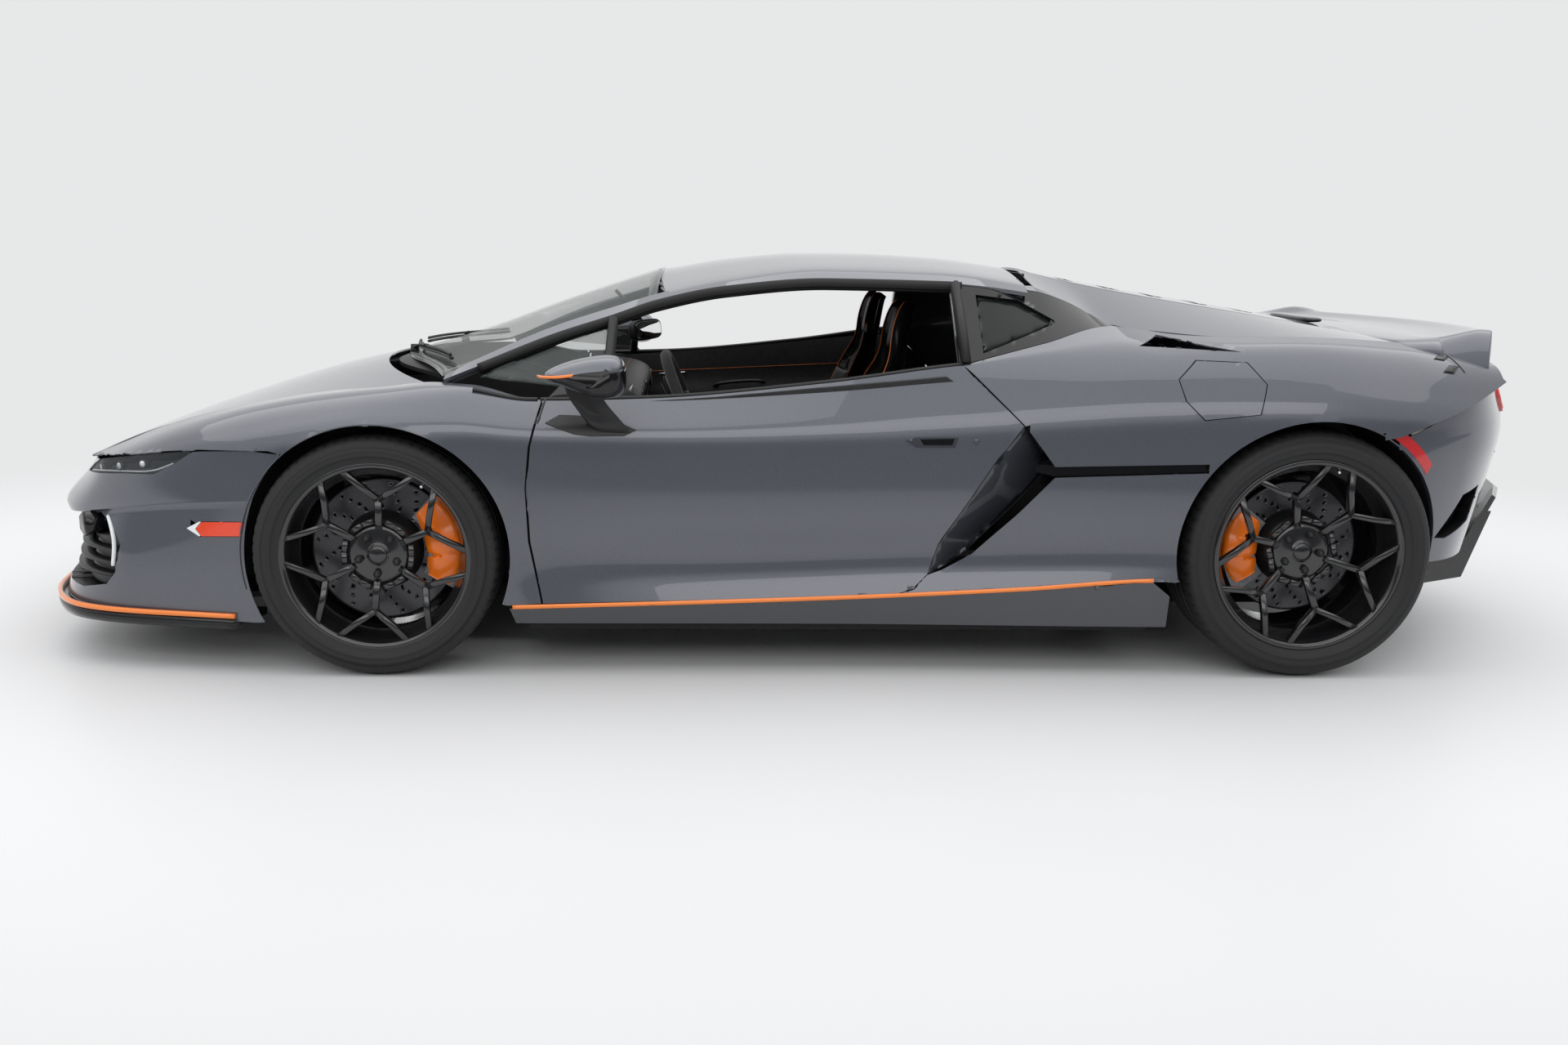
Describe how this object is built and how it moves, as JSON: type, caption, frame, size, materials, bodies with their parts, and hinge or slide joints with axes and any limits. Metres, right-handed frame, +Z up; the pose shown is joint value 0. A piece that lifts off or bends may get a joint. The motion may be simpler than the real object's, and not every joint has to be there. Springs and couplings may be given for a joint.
{
  "type": "mid-engined supercar",
  "caption": "Low two-seat mid-engined supercar with a wedge nose, scooped flanks, a ducktail and forked black wheels; doors, lids, wheels and steering move.",
  "frame": {"origin": "middle of the car's length and width, on the floor under the tyres", "axes": "+X towards the rear, +Y to the car's right, +Z up; the nose faces -X"},
  "size_m": [4.706, 2.246, 1.2007],
  "materials": {
    "paint": "deep gloss",
    "black_gloss": "gloss",
    "structure": "satin",
    "lamp_lens": "clear gloss over black",
    "window_glass": "clear",
    "red_lens": "gloss",
    "exhaust_metal": "brushed",
    "cast_metal": "as cast",
    "seat_hide": "matt",
    "cabin_trim": "matt",
    "black_trim": "matt",
    "caliper_paint": "gloss",
    "tyre_rubber": "matt",
    "wheel_black": "gloss"
  },
  "bodies": {
    "body": {"cabin_tub": "structure", "front_bumper": "paint", "front_splitter": "black_gloss", "fender_left": "paint", "fender_right": "paint", "headlamps": "lamp_lens", "windscreen": "window_glass", "roof_frame": "paint", "side_glass": "window_glass", "rear_glass": "window_glass", "quarter_left": "paint", "quarter_right": "paint", "rear_spoiler": "paint", "rear_bumper": "paint", "tail_lamps": "red_lens", "diffuser": "black_gloss", "exhaust": "exhaust_metal", "side_skirts": "black_gloss", "engine": "cast_metal", "seat_left": "seat_hide", "seat_right": "seat_hide", "dashboard": "cabin_trim", "wiper_cowl": "black_trim", "suspension": "cast_metal", "arch_liners": "black_trim", "rear_carriers": "caliper_paint"},
    "door_left": {"door_left": "paint", "mirror_left": "paint"},
    "door_right": {"door_right": "paint", "mirror_right": "paint"},
    "hood": {"hood": "paint"},
    "engine_cover": {"engine_cover": "paint"},
    "fuel_flap": {"fuel_flap": "paint"},
    "steering_wheel": {"steering_wheel": "seat_hide"},
    "steer_front_left": {"knuckle_front_left": "caliper_paint"},
    "steer_front_right": {"knuckle_front_right": "caliper_paint"},
    "wheel_front_left": {"wheel_front_left": "wheel_black", "tyre_front_left": "tyre_rubber"},
    "wheel_front_right": {"wheel_front_right": "wheel_black", "tyre_front_right": "tyre_rubber"},
    "wheel_rear_left": {"wheel_rear_left": "wheel_black", "tyre_rear_left": "tyre_rubber"},
    "wheel_rear_right": {"wheel_rear_right": "wheel_black", "tyre_rear_right": "tyre_rubber"}
  },
  "joints": [
    {"name": "door_left", "type": "hinge", "parent": "body", "child": "door_left", "pos_m": [-0.735, -0.918, 0.45], "axis": [0, 0, -1], "range_deg": [0, 60]},
    {"name": "door_right", "type": "hinge", "parent": "body", "child": "door_right", "pos_m": [-0.735, 0.918, 0.45], "axis": [0, 0, 1], "range_deg": [0, 60]},
    {"name": "hood", "type": "hinge", "parent": "body", "child": "hood", "pos_m": [-1.14, 0, 0.772], "axis": [0, 1, 0], "range_deg": [0, 55]},
    {"name": "engine_cover", "type": "hinge", "parent": "body", "child": "engine_cover", "pos_m": [0.7, 0, 1.108], "axis": [0, -1, 0], "range_deg": [0, 40]},
    {"name": "fuel_flap", "type": "hinge", "parent": "body", "child": "fuel_flap", "pos_m": [0.948, -0.9187, 0.8261], "axis": [0, -0.4446, -0.8957], "range_deg": [0, 80]},
    {"name": "steer_left", "type": "hinge", "parent": "body", "child": "steer_front_left", "pos_m": [-1.253, -0.7695, 0.3433], "axis": [0, 0, 1], "range_deg": [-28, 28]},
    {"name": "steer_right", "type": "hinge", "parent": "body", "child": "steer_front_right", "pos_m": [-1.253, 0.7695, 0.3433], "axis": [0, 0, 1], "range_deg": [-28, 28]},
    {"name": "steering_wheel", "type": "hinge", "parent": "body", "child": "steering_wheel", "pos_m": [-0.395, -0.39, 0.708], "axis": [0.9272, 0, 0.3746], "range_deg": [-400, 400]},
    {"name": "spin_front_left", "type": "hinge", "parent": "steer_front_left", "child": "wheel_front_left", "pos_m": [-1.253, -0.84, 0.3433], "axis": [0, 1, 0], "continuous": true},
    {"name": "spin_front_right", "type": "hinge", "parent": "steer_front_right", "child": "wheel_front_right", "pos_m": [-1.253, 0.84, 0.3433], "axis": [0, 1, 0], "continuous": true},
    {"name": "spin_rear_left", "type": "hinge", "parent": "body", "child": "wheel_rear_left", "pos_m": [1.405, -0.81, 0.3642], "axis": [0, 1, 0], "continuous": true},
    {"name": "spin_rear_right", "type": "hinge", "parent": "body", "child": "wheel_rear_right", "pos_m": [1.405, 0.81, 0.3642], "axis": [0, 1, 0], "continuous": true}
  ],
  "couplings": [
    {"joint": "steer_right", "follows": "steer_left", "ratio": 1},
    {"joint": "steering_wheel", "follows": "steer_left", "ratio": -13}
  ]
}
